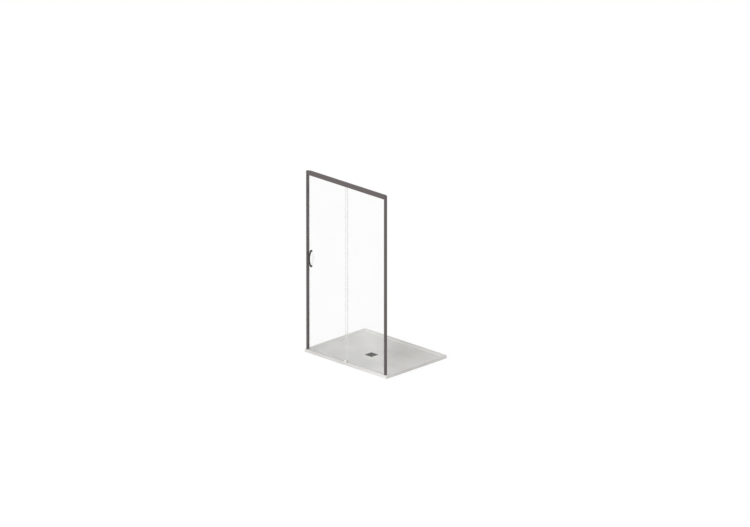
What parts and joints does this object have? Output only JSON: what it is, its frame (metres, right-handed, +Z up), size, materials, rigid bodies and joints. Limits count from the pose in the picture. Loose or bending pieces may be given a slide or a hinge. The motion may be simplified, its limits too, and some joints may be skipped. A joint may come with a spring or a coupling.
{
  "type": "shower tray with sliding screen",
  "caption": "Low rectangular shower tray with a square drain cover and a framed glass screen on its front edge: a fixed pane and a sliding door hung on rollers.",
  "frame": {"origin": "middle of the tray's underside, on the floor", "axes": "+X along the screen from the door side to the fixed side, +Y from the screen to the back of the tray, +Z up"},
  "size_m": [1.2, 0.915, 2.015],
  "materials": {
    "mineral_cast": "fine matte mineral casting",
    "clear_glass": "clear toughened glass",
    "clear_seal": "clear flexible plastic",
    "black_rubber": "matte",
    "nylon": "matte",
    "stainless": "brushed",
    "dark_handle": "satin anodised",
    "dark_cover": "satin",
    "anodised_frame": "satin anodised"
  },
  "bodies": {
    "enclosure": {"shower_tray": "mineral_cast", "waste_sealing_ring": "black_rubber", "waste_flange": "stainless", "wall_channel_left": "anodised_frame", "wall_channel_right": "anodised_frame", "strike_post": "anodised_frame", "glazing_post": "anodised_frame", "post_cap_left": "anodised_frame", "post_cap_right": "anodised_frame", "lock_screws": "stainless", "lock_screw_caps": "anodised_frame", "strike_seal": "clear_seal", "header_rail": "anodised_frame", "header_plug_left": "nylon", "header_plug_right": "nylon", "header_screws": "stainless", "door_stop_left": "nylon", "door_stop_right": "nylon", "stop_screws": "stainless", "bumper_left": "black_rubber", "bumper_right": "black_rubber", "fixed_pane": "clear_glass", "pane_gasket_top": "black_rubber", "pane_gasket_side": "black_rubber", "sill_seal": "clear_seal", "overlap_seal": "clear_seal", "threshold_strip": "clear_seal", "bottom_guide": "clear_seal", "guide_screws": "stainless"},
    "door": {"door_pane": "clear_glass", "door_top_rail": "anodised_frame", "rail_end_caps": "nylon", "hanger_left": "stainless", "hanger_right": "stainless", "hanger_bolts": "stainless", "anti_lift_pads": "nylon", "roller_pins": "stainless", "roller_spacers": "stainless", "door_magnet_seal": "clear_seal", "door_trailing_seal": "clear_seal", "door_sweep": "clear_seal", "handle_bow": "dark_handle", "handle_rosettes": "dark_handle", "handle_washers": "clear_seal", "handle_bushes": "nylon", "handle_inner_discs": "dark_handle", "handle_bolts": "stainless"},
    "cover": {"drain_cover": "dark_cover", "cover_feet": "black_rubber", "hair_strainer": "stainless"},
    "roller_1": {"roller_tyre_1": "nylon", "roller_bearing_1": "stainless"},
    "roller_2": {"roller_tyre_2": "nylon", "roller_bearing_2": "stainless"},
    "roller_3": {"roller_tyre_3": "nylon", "roller_bearing_3": "stainless"},
    "roller_4": {"roller_tyre_4": "nylon", "roller_bearing_4": "stainless"}
  },
  "joints": [
    {"name": "door_slide", "type": "slide", "parent": "enclosure", "child": "door", "axis": [1, 0, 0], "range_m": [0, 0.445]},
    {"name": "cover_lift", "type": "slide", "parent": "enclosure", "child": "cover", "axis": [0, 0, 1], "range_m": [0, 0.12]},
    {"name": "roller_1_spin", "type": "hinge", "parent": "door", "child": "roller_1", "pos_m": [-0.481, -0.4158, 1.995], "axis": [0, 1, 0], "continuous": true},
    {"name": "roller_2_spin", "type": "hinge", "parent": "door", "child": "roller_2", "pos_m": [-0.433, -0.4158, 1.995], "axis": [0, 1, 0], "continuous": true},
    {"name": "roller_3_spin", "type": "hinge", "parent": "door", "child": "roller_3", "pos_m": [-0.097, -0.4158, 1.995], "axis": [0, 1, 0], "continuous": true},
    {"name": "roller_4_spin", "type": "hinge", "parent": "door", "child": "roller_4", "pos_m": [-0.049, -0.4158, 1.995], "axis": [0, 1, 0], "continuous": true}
  ],
  "couplings": [
    {"joint": "roller_1_spin", "follows": "door_slide", "rad_per_m": 133.33},
    {"joint": "roller_2_spin", "follows": "door_slide", "rad_per_m": 133.33},
    {"joint": "roller_3_spin", "follows": "door_slide", "rad_per_m": 133.33},
    {"joint": "roller_4_spin", "follows": "door_slide", "rad_per_m": 133.33}
  ]
}
